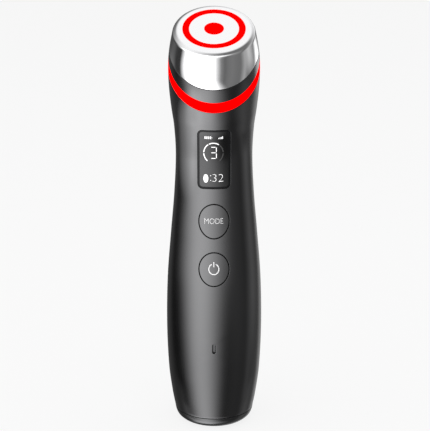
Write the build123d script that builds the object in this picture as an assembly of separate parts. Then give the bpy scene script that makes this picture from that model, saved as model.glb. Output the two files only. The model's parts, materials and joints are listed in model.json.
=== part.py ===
from build123d import *
from math import cos, degrees, radians, sin, sqrt
import os

# Facial toning device. Millimetres, +Z up along the grip, -Y is the front with the
# display and the buttons, X runs across. The origin is the centre of the flat base.
# The device is round in section along a centre line that rises straight from the base
# to the waist and then bends forwards, so that the metal head leans to the front.

# ---- Outer form: rise of each station above the one before, and its radius ----
base_flat_radius = 12.0
base_curve_rise = 2.0
base_curve_radius = 15.8
seam_rise = 3.4
seam_radius = 17.2
heel_rise = 6.6
heel_radius = 18.45
hip_rise = 12.0
hip_radius = 19.95
belly_rise = 20.0
belly_radius = 20.7
flank_rise = 22.0
flank_radius = 20.2
palm_rise = 20.0
palm_radius = 18.6
thumb_rise = 17.0
thumb_radius = 17.1
waist_rise = 17.0
waist_radius = 16.3
throat_rise = 13.0
throat_radius = 16.9
neck_rise = 9.0
neck_radius = 17.95
shoulder_rise = 10.0
shoulder_radius = 18.7
collar_rise = 11.0
collar_radius = 18.8
skirt_rise = 8.0
skirt_radius = 18.15
face_rise = 10.3
face_radius = 16.4

# ---- Forward bend of the centre line above the waist ----
head_tilt = 29.0
bend_radius = 66.0

# ---- Shells ----
wall = 2.2
head_skin = 1.3
face_edge_fillet = 2.2
flush_gap = 0.08
shell_clearance = 0.25
contact_clearance = 0.03
running_clearance = 0.05

# ---- Cuts round the head: level at the back, swooping down at the front ----
skirt_level = 10.0
skirt_front_drop = 16.4
skirt_turn = 3.2
skirt_swoop_radius = 40.0
ring_level = 13.8
ring_front_drop = 23.1
ring_turn = 0.2
ring_swoop_radius = 30.0
ring_width = 5.3
ring_thickness = 1.2
shadow_groove = 0.3

# ---- Face: lenses and electrodes ----
ring_lens_outer_radius = 12.6
ring_lens_inner_radius = 10.0
centre_lens_radius = 3.9
electrode_thickness = 1.3
lens_thickness = 2.6
carrier_radius = 15.0
carrier_thickness = 2.7
carrier_skirt_depth = 4.0
carrier_skirt_wall = 1.0
light_hole_radius = 1.2
face_led_count = 8
face_led_size = 1.6
face_led_height = 0.7
face_board_drop = 1.0
face_board_thickness = 1.0
head_screw_circle = 7.0
head_screw_count = 3
inner_pin_circle = 5.5
outer_pin_circle = 13.4
contact_pin_radius = 0.5

# ---- Neck sleeve and ring light ----
sleeve_thickness = 1.3
sleeve_overlap = 7.0
neck_strip_thickness = 0.2
neck_strip_margin = 0.9
neck_led_count = 14
neck_led_size = 1.4
neck_led_height = 0.5

# ---- Display ----
window_width = 13.6
window_height = 25.8
window_corner_radius = 2.0
window_thickness = 1.4
window_spacing = 6.25
window_ledge = 1.2
module_width = 11.6
module_height = 22.0
module_thickness = 1.5
holder_margin = 0.8
holder_wall = 1.4
flex_width = 8.0
flex_thickness = 0.2
flex_drop = 3.2
flex_plug_height = 2.0
flex_plug_depth = 1.0

# ---- Buttons and switches ----
button_width = 13.1
button_height = 14.9
button_gap = 0.25
button_edge_fillet = 0.2
button_spacing = 5.6
button_flange = 0.9
button_flange_thickness = 0.8
button_travel = 0.4
stem_radius = 2.5
gasket_inner_margin = 1.15
gasket_width = 0.85
gasket_thickness = 0.6
guide_width = 18.8
guide_thickness = 1.2
guide_margin = 1.2
guide_leg_width = 1.8
guide_leg_offset = 8.2
switch_size = 6.0
switch_thickness = 1.6
plunger_radius = 1.5
plunger_height = 1.0
plunger_depth = 0.7

# ---- Indicator slit ----
slit_width = 1.4
slit_height = 4.4
slit_centre_height = 39.2
slit_recess = 1.2
slit_clearance = 0.2
indicator_led_size = 1.6
indicator_led_height = 0.8

# ---- Main board and inner frame ----
board_front = 8.0
board_thickness = 1.2
board_width = 20.0
board_foot_margin = 6.2
holder_overhang = 4.6
post_height = 1.2
post_radius = 1.7
board_screw_offset = 8.2
board_screw_margin = 2.5
board_screw_rise = 11.0
small_screw_radius = 0.75
small_screw_head_radius = 1.3
small_screw_head_height = 0.8
spine_thickness = 1.5
spine_width = 23.0
spine_overrun = 6.0
foot_height = 10.5
foot_thickness = 2.0
rib_thickness = 2.0
battery_rib_low_margin = 11.0
battery_rib_high_margin = 12.0
neck_rib_rise = 15.0
lead_window_width = 13.0
lead_window_height = 4.0

# ---- Electronics on the main board ----
processor_size = 7.0
processor_thickness = 1.0
processor_margin = 0.85
core_width = 11.2
core_depth = 4.4
core_height = 10.0
core_leg = 1.4
core_yoke = 1.6
core_centre_leg = 3.6
coil_build = 2.0
transformer_margin = 1.0
capacitor_radius = 2.6
capacitor_clearance = 1.4
capacitor_offset = 6.0
capacitor_rise = 4.3
capacitor_margin = 0.9
buzzer_radius = 6.0
buzzer_thickness = 3.0
buzzer_rise = 15.0
buzzer_port_radius = 1.0

# ---- Battery ----
battery_radius = 9.2
battery_length = 65.0
battery_bottom = 17.0
battery_edge_fillet = 0.4
battery_pad_thickness = 0.35
battery_pad_width = 9.0
battery_pad_length = 12.0
battery_pad_rise = 14.0
tab_radius = 3.5
tab_thickness = 0.3
lead_radius = 0.6
lead_offset = 5.0
lead_bend = 1.4
lead_run = 3.0

# ---- Vibration motor ----
motor_radius = 3.0
motor_length = 10.0
motor_rise = 12.0
boot_wall = 0.8
boot_length = 8.0
motor_shaft_radius = 0.5
motor_shaft_length = 8.0
motor_bore_depth = 4.0
motor_shaft_end_gap = 0.2
weight_radius = 2.8
weight_thickness = 3.0
weight_gap = 1.0
weight_hub_radius = 1.1

# ---- Bottom cap and charging inlet ----
cap_floor = 2.2
spigot_thickness = 1.6
spigot_length = 4.1
seal_radius = 0.7
seal_rise = 2.6
port_width = 8.94
port_depth = 3.16
port_length = 7.4
port_wall = 0.3
port_recess = 0.6
port_clearance = 0.13
tongue_width = 6.7
tongue_thickness = 0.7
tongue_recess = 0.6
tongue_root = 1.5
charge_board_radius = 11.0
charge_board_thickness = 1.0
ledge_post_radius = 1.8
ledge_post_offset = 9.0
cap_screw_offset = 7.5
cap_screw_radius = 1.0
cap_screw_length = 13.5
cap_screw_head_radius = 1.9
cap_screw_head_height = 1.3
cap_screw_head_recess = 0.5
cross_slot_length = 2.4
cross_slot_width = 0.5
cross_slot_depth = 0.45
cap_post_wall = 1.8
foot_boss_height = 3.5
foot_boss_radius = 2.6
charge_lead_offset = 6.7

# ---- Wires to the head ----
harness_wire_radius = 0.5
harness_wire_offset = 4.0
harness_straight = 12.0
harness_bend = 8.0
harness_end_run = 8.0

# Room around the model for cutting solids, larger than any size of the device.
REACH = 150.0
# How far a cutting solid runs past the faces that it cuts.
OVERRUN = 1.0


# ---- Form ----
RISES = [
    (base_curve_rise + seam_rise, seam_radius),
    (heel_rise, heel_radius),
    (hip_rise, hip_radius),
    (belly_rise, belly_radius),
    (flank_rise, flank_radius),
    (palm_rise, palm_radius),
    (thumb_rise, thumb_radius),
    (waist_rise, waist_radius),
    (throat_rise, throat_radius),
    (neck_rise, neck_radius),
    (shoulder_rise, shoulder_radius),
    (collar_rise, collar_radius),
    (skirt_rise, skirt_radius),
    (face_rise, face_radius),
]
WAIST_INDEX = 7


def running_total(rises):
    """Stations as (distance along the centre line, radius)."""
    stations = []
    distance = 0.0
    for rise, radius in rises:
        distance += rise
        stations.append((distance, radius))
    return stations


STATIONS = running_total(RISES)
seam_height = STATIONS[0][0]
bend_start = STATIONS[WAIST_INDEX][0]
face_distance = STATIONS[-1][0]


def station_slope(index):
    """Slope of the outer form at a station, taken across its neighbours."""
    before = STATIONS[max(index - 1, 0)]
    after = STATIONS[min(index + 1, len(STATIONS) - 1)]
    return (after[1] - before[1]) / (after[0] - before[0])


def radius_at(distance):
    """Outer radius at a distance along the centre line, a smooth cubic between stations."""
    index = 0
    while index < len(STATIONS) - 2 and distance > STATIONS[index + 1][0]:
        index += 1
    start, start_radius = STATIONS[index]
    end, end_radius = STATIONS[index + 1]
    span = end - start
    t = (distance - start) / span
    ease = t * t * (3 - 2 * t)
    return (
        start_radius * (1 - ease)
        + end_radius * ease
        + station_slope(index) * span * t * (1 - t) ** 2
        - station_slope(index + 1) * span * t * t * (1 - t)
    )


def centre_at(distance):
    """Y, Z and forward lean in radians of the centre line at a distance along it."""
    past_waist = max(distance - bend_start, 0.0)
    lean = min(past_waist / bend_radius, radians(head_tilt))
    straight = past_waist - bend_radius * lean
    y = -bend_radius * (1 - cos(lean)) - straight * sin(lean)
    z = min(distance, bend_start) + bend_radius * sin(lean) + straight * cos(lean)
    return y, z, lean


def form(inset):
    """Solid inside the outer form by inset, from the seam to the face."""
    distances = [STATIONS[0][0]]
    for (low, _), (high, _) in zip(STATIONS, STATIONS[1:]):
        distances += [(low + high) / 2, high]
    sections = []
    for distance in distances:
        y, z, lean = centre_at(distance)
        place = Location((0, y, z), (degrees(lean), 0, 0))
        sections.append(place * Circle(radius_at(distance) - inset))
    return loft(sections)


face_y, face_z, face_lean = centre_at(face_distance)
# The head's own frame: origin at the centre of the face, +Z out of the face, -Y forwards.
HEAD = Location((0, face_y, face_z), (head_tilt, 0, 0))
# Side view of the head: first direction forwards across the head, second out of the face.
HEAD_SIDE = Plane(
    origin=(0, face_y, face_z),
    x_dir=(0, -cos(face_lean), -sin(face_lean)),
    z_dir=(-1, 0, 0),
)
HEAD_AXIS = Axis(HEAD_SIDE.origin, HEAD_SIDE.y_dir)


def below_face(drop):
    """Everything more than drop under the face, measured along the head."""
    return HEAD * Pos(0, 0, -drop - REACH) * Box(2 * REACH, 2 * REACH, 2 * REACH)


def swoop_slope(level, front_drop, turn):
    """Slope of the front part of a swooping cut, which turns down at a distance forwards."""
    return (front_drop - level) / (collar_radius - turn)


def below_swoop(level, front_drop, turn, swoop_radius, drop):
    """Everything under a cut that is level at the back and swoops down at the front."""
    front_end = -level - swoop_slope(level, front_drop, turn) * (REACH - turn)
    path = FilletPolyline(
        (-REACH, -level - drop),
        (turn, -level - drop),
        (REACH, front_end - drop),
        radius=swoop_radius,
    )
    close = Polyline(path @ 1, (REACH, -2 * REACH), (-REACH, -2 * REACH), path @ 0)
    return extrude(HEAD_SIDE * make_face(path + close), amount=REACH, both=True)


def below_skirt(drop=0.0):
    """Everything under the lower edge of the metal head."""
    return below_swoop(skirt_level, skirt_front_drop, skirt_turn, skirt_swoop_radius, drop)


def below_ring(drop=0.0):
    """Everything under the upper edge of the light ring."""
    return below_swoop(ring_level, ring_front_drop, ring_turn, ring_swoop_radius, drop)


outer_form = form(0.0)
wall_form = form(wall)
space_form = form(wall + shell_clearance)


# ---- Places up the grip: from the slit up the main board, and from the battery up the spine ----
board_bottom = slit_centre_height - board_foot_margin
capacitor_height = slit_centre_height + capacitor_rise
transformer_height = capacitor_height + capacitor_radius + capacitor_margin + core_height / 2
processor_height = transformer_height + core_height / 2 + transformer_margin + processor_size / 2
guide_low = processor_height + processor_size / 2 + processor_margin
power_button_height = guide_low + guide_margin + button_height / 2
mode_button_height = power_button_height + button_height + button_spacing
guide_high = mode_button_height + button_height / 2 + guide_margin
window_centre_height = (
    mode_button_height + button_height / 2 + window_spacing + window_height / 2
)
board_top = window_centre_height + module_height / 2 - holder_overhang
battery_top = battery_bottom + battery_length
buzzer_height = battery_top + buzzer_rise
neck_rib_height = buzzer_height + neck_rib_rise
motor_bottom = neck_rib_height + motor_rise
motor_top = motor_bottom + motor_length
spine_top = motor_top + spine_overrun


# ---- Small shapes ----
def front_plane(depth):
    """Plane facing the front, depth in front of the centre line, X right and Z up."""
    return Plane(origin=(0, -depth, 0), x_dir=(1, 0, 0), z_dir=(0, -1, 0))


def front_prism(outline, back, front):
    """Outline drawn in X and Z, extruded along Y between two depths to the front."""
    return extrude(front_plane(back) * outline, amount=front - back)


def block(x_low, x_high, back, front, z_low, z_high):
    """Box between two X, two depths to the front and two heights."""
    size = (x_high - x_low, front - back, z_high - z_low)
    centre = ((x_low + x_high) / 2, -(back + front) / 2, (z_low + z_high) / 2)
    return Pos(*centre) * Box(*size)


def upright(x, y, z_low, z_high, radius):
    """Cylinder along Z."""
    return Pos(x, y, (z_low + z_high) / 2) * Cylinder(radius, z_high - z_low)


def forward_pin(x, z, back, front, radius):
    """Cylinder along Y between two depths to the front."""
    return front_prism(Pos(x, z) * Circle(radius), back, front)


def head_disc(radius, top_drop, bottom_drop, x=0.0, y=0.0):
    """Cylinder along the head between two depths under the face, in the head's own frame."""
    return Pos(x, y, -(top_drop + bottom_drop) / 2) * Cylinder(radius, bottom_drop - top_drop)


def wire(points, radius, bend):
    """Round wire through the points, with equal bends."""
    path = FilletPolyline(*points, radius=bend)
    section = Plane(origin=path @ 0, z_dir=path % 0) * Circle(radius)
    return sweep(section, path=path)


def group(solids):
    """Separate solids kept together as one piece."""
    return Compound(children=list(solids))


# ---- Head ----
carrier_top = electrode_thickness
carrier_bottom = carrier_top + carrier_thickness
carrier_skirt_bottom = carrier_bottom + carrier_skirt_depth
face_board_top = carrier_bottom + face_board_drop
face_board_bottom = face_board_top + face_board_thickness
face_board_radius = carrier_radius - carrier_skirt_wall - running_clearance
light_circle = (ring_lens_outer_radius + ring_lens_inner_radius) / 2
PIN_PLACES = [
    (inner_pin_circle, 0),
    (-inner_pin_circle, 0),
    (outer_pin_circle, 0),
    (-outer_pin_circle, 0),
]


def circle_places(count, radius, start=0.0):
    """Evenly spaced X, Y places on a circle, start in degrees."""
    angles = [radians(start + 360 * i / count) for i in range(count)]
    return [(radius * cos(angle), radius * sin(angle)) for angle in angles]


FACE_LED_PLACES = [(0, 0)] + circle_places(face_led_count, light_circle, 90 / face_led_count)
HEAD_SCREW_PLACES = circle_places(head_screw_count, head_screw_circle, 90)


def outer_electrode():
    """Metal head: a ring-shaped face and a flared skirt in one piece."""
    body = outer_form - below_skirt()
    rim = body.faces().sort_by(HEAD_AXIS)[-1].edges()
    body = fillet(rim, face_edge_fillet)
    hollow = form(head_skin) & below_face(electrode_thickness)
    hole = HEAD * head_disc(ring_lens_outer_radius + contact_clearance, -OVERRUN, carrier_bottom)
    return body - hollow - hole


def ring_disc(outer_radius, inner_radius, top_drop, bottom_drop):
    """Flat ring in the head's own frame."""
    outer = head_disc(outer_radius, top_drop, bottom_drop)
    return outer - head_disc(inner_radius, top_drop - OVERRUN, bottom_drop + OVERRUN)


def face_ring_lens():
    """Light ring of the face."""
    return HEAD * ring_disc(ring_lens_outer_radius, ring_lens_inner_radius, 0, lens_thickness)


def inner_electrode():
    """Metal ring between the light ring and the centre lens."""
    outer = ring_lens_inner_radius - contact_clearance
    inner = centre_lens_radius + contact_clearance
    return HEAD * ring_disc(outer, inner, 0, electrode_thickness)


def centre_lens():
    """Round lens in the middle of the face."""
    return HEAD * head_disc(centre_lens_radius, 0, lens_thickness)


def electrode_carrier():
    """Plastic disc under the face with pockets for the lenses and a skirt round the board."""
    body = head_disc(carrier_radius, carrier_top, carrier_skirt_bottom)
    body -= head_disc(carrier_radius - carrier_skirt_wall, carrier_bottom, carrier_skirt_bottom)
    body -= ring_disc(
        ring_lens_outer_radius + contact_clearance,
        ring_lens_inner_radius - contact_clearance,
        carrier_top,
        lens_thickness,
    )
    body -= head_disc(centre_lens_radius + contact_clearance, carrier_top, lens_thickness)
    for x, y in FACE_LED_PLACES:
        body -= head_disc(light_hole_radius, carrier_top, carrier_bottom, x, y)
    for x, y in PIN_PLACES:
        body -= head_disc(contact_pin_radius + running_clearance, 0, carrier_bottom, x, y)
    for x, y in HEAD_SCREW_PLACES:
        body += head_disc(post_radius, carrier_bottom, face_board_top, x, y)
        hole = small_screw_radius + contact_clearance
        body -= head_disc(hole, carrier_top, face_board_top, x, y)
    return HEAD * body


def face_light_board():
    """Round board under the carrier that carries the face lights."""
    board = head_disc(face_board_radius, face_board_top, face_board_bottom)
    for x, y in HEAD_SCREW_PLACES:
        hole = small_screw_radius + running_clearance
        board -= head_disc(hole, face_board_top, face_board_bottom, x, y)
    return HEAD * board


def face_leds():
    """Lights under the ring lens and the centre lens."""
    centre_drop = face_board_top - face_led_height / 2
    led = Box(face_led_size, face_led_size, face_led_height)
    return group(HEAD * Pos(x, y, -centre_drop) * led for x, y in FACE_LED_PLACES)


def contact_pins():
    """Sprung pins from the light board to both electrodes."""
    return group(
        HEAD * head_disc(contact_pin_radius, electrode_thickness, face_board_top, x, y)
        for x, y in PIN_PLACES
    )


def head_screws():
    """Screws that hold the light board to the carrier."""
    screws = []
    shank_top = carrier_top + contact_clearance
    for x, y in HEAD_SCREW_PLACES:
        shank = head_disc(small_screw_radius, shank_top, face_board_bottom, x, y)
        head_bottom = face_board_bottom + small_screw_head_height
        head = head_disc(small_screw_head_radius, face_board_bottom, head_bottom, x, y)
        screws.append(HEAD * (shank + head))
    return group(screws)


def head_collar():
    """Band between the metal head and the light ring."""
    band = below_skirt(shadow_groove) - below_ring(-flush_gap)
    return (outer_form - wall_form) & band


def neck_light_ring():
    """Red diffuser round the neck."""
    band = below_ring() - below_ring(ring_width)
    return (outer_form - form(ring_thickness)) & band


sleeve_inset = wall + flush_gap
neck_strip_inset = sleeve_inset - contact_clearance - neck_strip_thickness


def neck_sleeve():
    """Inner tube that the collar, the light ring and the grip slide over."""
    tube = form(sleeve_inset) - form(sleeve_inset + sleeve_thickness)
    top = below_face(carrier_skirt_bottom + contact_clearance)
    return (tube & top) - below_ring(ring_width + sleeve_overlap)


def neck_led_strip():
    """Flexible strip on the sleeve, behind the light ring."""
    strip = form(neck_strip_inset) - form(neck_strip_inset + neck_strip_thickness)
    band = below_ring(neck_strip_margin) - below_ring(ring_width - neck_strip_margin)
    return strip & band


def ring_drop(forward):
    """Depth under the face of the light ring's upper edge, at a distance forwards."""
    slope = swoop_slope(ring_level, ring_front_drop, ring_turn)
    return ring_level + slope * max(forward - ring_turn, 0.0)


def neck_leds():
    """Lights on the neck strip."""
    leds = []
    led_inset = neck_strip_inset - flush_gap - neck_led_height / 2
    led = Box(neck_led_height, neck_led_size, neck_led_size)
    for i in range(neck_led_count):
        angle = 360 * (i + 0.5) / neck_led_count
        drop = ring_drop(-sin(radians(angle)) * collar_radius) + ring_width / 2
        radius = radius_at(face_distance - drop) - led_inset
        leds.append(HEAD * Pos(0, 0, -drop) * Rot(0, 0, angle) * Pos(radius, 0, 0) * led)
    return group(leds)


# ---- Grip ----
def window_outline(margin):
    """Rounded outline of the display window, grown by margin."""
    outline = RectangleRounded(
        window_width + 2 * margin,
        window_height + 2 * margin,
        window_corner_radius + margin,
    )
    return Pos(0, window_centre_height) * outline


def button_outline(height, margin):
    """Oval outline of a button opening, grown by margin."""
    return Pos(0, height) * Ellipse(button_width / 2 + margin, button_height / 2 + margin)


def slit_outline(margin):
    """Outline of the indicator slit, grown by margin."""
    slot = SlotOverall(slit_height + 2 * margin, slit_width + 2 * margin, rotation=90)
    return Pos(0, slit_centre_height) * slot


BUTTON_HEIGHTS = {"mode": mode_button_height, "power": power_button_height}
front_reach = 2 * belly_radius


def body_shell():
    """One-piece grip with openings for the window, the buttons and the slit."""
    shell = (outer_form - wall_form) & below_ring(ring_width + flush_gap)
    pocket = front_prism(window_outline(flush_gap), 0, front_reach)
    shell -= pocket - form(window_thickness + contact_clearance)
    shell -= front_prism(window_outline(-window_ledge), 0, front_reach)
    for height in BUTTON_HEIGHTS.values():
        shell -= front_prism(button_outline(height, 0), 0, front_reach)
    return shell - front_prism(slit_outline(0), 0, front_reach)


def display_window():
    """Smoked window that follows the grip."""
    slab = front_prism(window_outline(0), 0, front_reach)
    return (slab & outer_form) - form(window_thickness)


def button(height):
    """Oval cap flush with the grip, with a flange behind the wall and a guided stem."""
    flange_top = wall + flush_gap
    flange_form = form(flange_top)
    under_form = form(flange_top + button_flange_thickness)
    cap = front_prism(button_outline(height, -button_gap), 0, front_reach) & outer_form
    rim = cap.faces().sort_by(Axis.Y)[0].edges()
    cap = fillet(rim, button_edge_fillet)
    flange = front_prism(button_outline(height, button_flange), 0, front_reach) & flange_form
    stem_front = radius_at(height) - flange_top
    stem = forward_pin(0, height, guide_back - stem_reach, stem_front, stem_radius)
    return (cap + flange) - under_form + stem


def indicator_light_pipe():
    """Clear bar that brings the indicator light to the slit."""
    led_top = board_front + indicator_led_height + shell_clearance
    bar = front_prism(slit_outline(-slit_clearance), led_top, front_reach)
    return bar & form(slit_recess)


def button_gaskets():
    """Seals stuck inside the grip round both button openings."""
    layer = form(wall + contact_clearance) - form(wall + contact_clearance + gasket_thickness)
    seals = []
    for height in BUTTON_HEIGHTS.values():
        outer = button_outline(height, gasket_inner_margin + gasket_width)
        inner = button_outline(height, gasket_inner_margin)
        ring = front_prism(outer, 0, front_reach) - front_prism(inner, 0, front_reach)
        seals.append(ring & layer)
    return group(seals)


# ---- Main board, inner frame and what they carry ----
board_back = board_front - board_thickness
board_middle = board_front - board_thickness / 2
spine_front = board_back - post_height
spine_back = spine_front - spine_thickness
BOARD_SCREW_PLACES = [
    (side * board_screw_offset, height)
    for side in (-1, 1)
    for height in (board_bottom + board_screw_margin, mode_button_height + board_screw_rise)
]
switch_front = board_front + switch_thickness
plunger_front = switch_front + plunger_height
guide_back = switch_front + shell_clearance + button_travel
stem_reach = guide_back - plunger_front
battery_rib_low = battery_bottom + battery_rib_low_margin
battery_rib_high = battery_top - battery_rib_high_margin
battery_depth = spine_back - battery_pad_thickness - battery_radius
lead_window_low = foot_height + foot_thickness + lead_run / 2
CAP_SCREW_PLACES = [(0, -cap_screw_offset), (0, cap_screw_offset)]


def battery_envelope(margin):
    """Room taken by the battery, grown by margin."""
    low = battery_bottom - margin
    return upright(0, -battery_depth, low, battery_top + margin, battery_radius + margin)


def slab(z_low, thickness):
    """Slice of the space inside the grip."""
    return space_form & block(-REACH, REACH, -REACH, REACH, z_low, z_low + thickness)


def inner_frame():
    """Spine with a foot, battery ribs, a neck rib and posts for the main board."""
    half = spine_width / 2
    frame = block(-half, half, spine_back, spine_front, foot_height, spine_top) & space_form
    for height in (battery_rib_low, battery_rib_high, neck_rib_height):
        rib = slab(height, rib_thickness)
        rib -= block(-REACH, REACH, spine_back, REACH, height, height + rib_thickness)
        frame += rib - battery_envelope(contact_clearance)
    frame += slab(foot_height, foot_thickness)
    boss_top = foot_height + foot_thickness + foot_boss_height
    for x, y in CAP_SCREW_PLACES:
        frame += upright(x, y, foot_height, boss_top, foot_boss_radius)
        frame -= upright(x, y, foot_height, boss_top, cap_screw_radius + contact_clearance)
    half = lead_window_width / 2
    for low in (lead_window_low, battery_top + tab_thickness):
        high = low + lead_window_height
        frame -= block(-half, half, spine_back - OVERRUN, spine_front + OVERRUN, low, high)
    for x in (-charge_lead_offset, -lead_offset):
        frame -= upright(x, -board_middle, foot_height, foot_height + foot_thickness, 2 * lead_radius)
    for x, z in BOARD_SCREW_PLACES:
        frame += forward_pin(x, z, spine_back, board_back, post_radius)
        hole = small_screw_radius + contact_clearance
        frame -= forward_pin(x, z, spine_back, board_back, hole)
    return frame


def main_board():
    """Circuit board along the front of the spine."""
    half = board_width / 2
    board = block(-half, half, board_back, board_front, board_bottom, board_top)
    for x, z in BOARD_SCREW_PLACES:
        board -= forward_pin(x, z, board_back, board_front, small_screw_radius + running_clearance)
    return board


def board_screws():
    """Screws that hold the main board to the frame."""
    screws = []
    for x, z in BOARD_SCREW_PLACES:
        shank = forward_pin(x, z, spine_back, board_front, small_screw_radius)
        head_front = board_front + small_screw_head_height
        head = forward_pin(x, z, board_front, head_front, small_screw_head_radius)
        screws.append(shank + head)
    return group(screws)


def processor():
    """Control chip."""
    half = processor_size / 2
    low = processor_height - half
    front = board_front + processor_thickness
    return block(-half, half, board_front, front, low, low + processor_size)


coil_depth = core_depth / 2 + coil_build
transformer_middle = board_front + contact_clearance + coil_depth


def centred_block(width, depth, height, middle, z):
    """Box centred on X, on a depth to the front and on a height."""
    return block(
        -width / 2, width / 2, middle - depth / 2, middle + depth / 2, z - height / 2, z + height / 2
    )


core_window_height = core_height - 2 * core_yoke


def transformer_core():
    """Ferrite frame with a middle leg."""
    inside = core_width - 2 * core_leg
    core = centred_block(core_width, core_depth, core_height, transformer_middle, transformer_height)
    core -= centred_block(
        inside, core_depth, core_window_height, transformer_middle, transformer_height
    )
    return core + centred_block(
        core_centre_leg, core_depth, core_window_height, transformer_middle, transformer_height
    )


def transformer_coil():
    """Winding round the middle leg of the core."""
    gap = 2 * contact_clearance
    height = core_window_height - gap
    width = core_width - 2 * core_leg - gap
    coil = centred_block(width, 2 * coil_depth, height, transformer_middle, transformer_height)
    return coil - centred_block(
        core_centre_leg + gap, core_depth + gap, height, transformer_middle, transformer_height
    )


def storage_capacitors():
    """Two round capacitors standing on the board, as tall as the grip leaves room for."""
    inside_radius = radius_at(capacitor_height) - wall
    reach = capacitor_offset + capacitor_radius
    front = sqrt(inside_radius**2 - reach**2) - capacitor_clearance
    return group(
        forward_pin(side * capacitor_offset, capacitor_height, board_front, front, capacitor_radius)
        for side in (-1, 1)
    )


def indicator_led():
    """Light behind the slit."""
    half = indicator_led_size / 2
    front = board_front + indicator_led_height
    low = slit_centre_height - half
    return block(-half, half, board_front, front, low, low + indicator_led_size)


def buzzer():
    """Round beeper on the back of the spine, with its sound hole to the rear."""
    back = spine_back - buzzer_thickness
    body = forward_pin(0, buzzer_height, back, spine_back, buzzer_radius)
    return body - forward_pin(0, buzzer_height, back, back + buzzer_thickness / 2, buzzer_port_radius)


# The screen's front corners lie just inside the grip's wall at the waist.
module_front = sqrt((waist_radius - wall) ** 2 - (module_width / 2) ** 2) - shell_clearance
module_back = module_front - module_thickness


def display_module():
    """Screen behind the window."""
    return centred_block(
        module_width,
        module_thickness,
        module_height,
        (module_front + module_back) / 2,
        window_centre_height,
    )


def display_holder():
    """Open frame that carries the screen on the board."""
    width = module_width + 2 * holder_margin
    height = module_height + 2 * holder_margin
    depth = module_back - board_front
    middle = (module_back + board_front) / 2
    outer = centred_block(width, depth, height, middle, window_centre_height)
    return outer - centred_block(
        width - 2 * holder_wall, depth, height - 2 * holder_wall, middle, window_centre_height
    )


def display_flex():
    """Ribbon from the bottom of the screen to its plug on the board."""
    half = flex_width / 2
    ribbon_front = (module_front + module_back) / 2
    screen_bottom = window_centre_height - module_height / 2
    turn = screen_bottom - flex_drop
    hang = block(-half, half, ribbon_front - flex_thickness, ribbon_front, turn, screen_bottom)
    back = block(-half, half, board_front, ribbon_front, turn, turn + flex_thickness)
    plug_front = board_front + flex_plug_depth
    plug = block(-half, half, board_front, plug_front, turn - flex_plug_height, turn)
    return hang + back + plug


def switch(height):
    """Tactile switch on the board."""
    body = centred_block(
        switch_size, switch_thickness, switch_size, (board_front + switch_front) / 2, height
    )
    bore = plunger_radius + running_clearance
    bore_back = switch_front - plunger_depth - 2 * button_travel
    return body - forward_pin(0, height, bore_back, switch_front, bore)


def plunger(height):
    """Moving pin of a tactile switch."""
    return forward_pin(0, height, switch_front - plunger_depth, plunger_front, plunger_radius)


def button_guide():
    """Bridge on the board with one bore for each button stem."""
    half = guide_width / 2
    front = guide_back + guide_thickness
    plate = block(-half, half, guide_back, front, guide_low, guide_high) & space_form
    leg = guide_leg_width / 2
    for side in (-1, 1):
        for z in (guide_low + guide_leg_width, guide_high - guide_leg_width):
            x = side * guide_leg_offset
            plate += block(x - leg, x + leg, board_front, guide_back, z - leg, z + leg)
    for height in BUTTON_HEIGHTS.values():
        plate -= forward_pin(0, height, guide_back, front, stem_radius + running_clearance)
    return plate


# ---- Battery ----
def battery_cell():
    """Round lithium cell."""
    return fillet(battery_envelope(0).edges(), battery_edge_fillet)


def battery_pads():
    """Foam pads between the cell and the spine."""
    half = battery_pad_width / 2
    pads = []
    for low in (battery_rib_low + battery_pad_rise, battery_rib_high - battery_pad_rise):
        pad = block(-half, half, battery_depth, spine_back, low, low + battery_pad_length)
        pads.append(pad - battery_envelope(contact_clearance))
    return group(pads)


def battery_tabs():
    """Welded tabs on both ends of the cell."""
    low = battery_bottom - tab_thickness
    high = battery_top + tab_thickness
    strip_reach = lead_offset + 2 * lead_radius
    tabs = []
    for side, z_low, z_high in ((1, low, battery_bottom), (-1, battery_top, high)):
        disc = upright(0, -battery_depth, z_low, z_high, tab_radius)
        strip = Pos(side * strip_reach / 2, -battery_depth, (z_low + z_high) / 2)
        tabs.append(disc + strip * Box(strip_reach, 3 * lead_radius, tab_thickness))
    return group(tabs)


def battery_leads():
    """Two wires from the cell's tabs to the main board."""
    top = battery_top + tab_thickness
    low = battery_bottom - tab_thickness
    upper = wire(
        [
            (-lead_offset, -battery_depth, top),
            (-lead_offset, -battery_depth, top + lead_window_height / 2),
            (-lead_offset, -board_back, top + lead_window_height / 2),
        ],
        lead_radius,
        lead_bend,
    )
    turn = lead_window_low + lead_window_height / 4
    lower = wire(
        [
            (lead_offset, -battery_depth, low),
            (lead_offset, -battery_depth, turn),
            (lead_offset, -board_middle, turn),
            (lead_offset, -board_middle, board_bottom),
        ],
        lead_radius,
        lead_bend,
    )
    return group([upper, lower])


# ---- Vibration motor ----
boot_radius = motor_radius + boot_wall
motor_depth = spine_back - boot_radius
weight_bottom = motor_top + weight_gap


def motor_case():
    """Can of the vibration motor."""
    case = upright(0, -motor_depth, motor_bottom, motor_top, motor_radius)
    bore = motor_shaft_radius + running_clearance
    return case - upright(0, -motor_depth, motor_top - motor_bore_depth, motor_top, bore)


def motor_boot():
    """Rubber boot that holds the motor on the spine."""
    low = motor_bottom + (motor_length - boot_length) / 2
    high = low + boot_length
    boot = upright(0, -motor_depth, low, high, boot_radius)
    boot += block(-motor_radius, motor_radius, motor_depth, spine_back, low, high)
    return boot - upright(0, -motor_depth, low, high, motor_radius + contact_clearance)


def motor_shaft():
    """Spinning shaft of the vibration motor."""
    low = motor_top - motor_bore_depth + motor_shaft_end_gap
    return upright(0, -motor_depth, low, low + motor_shaft_length, motor_shaft_radius)


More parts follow.
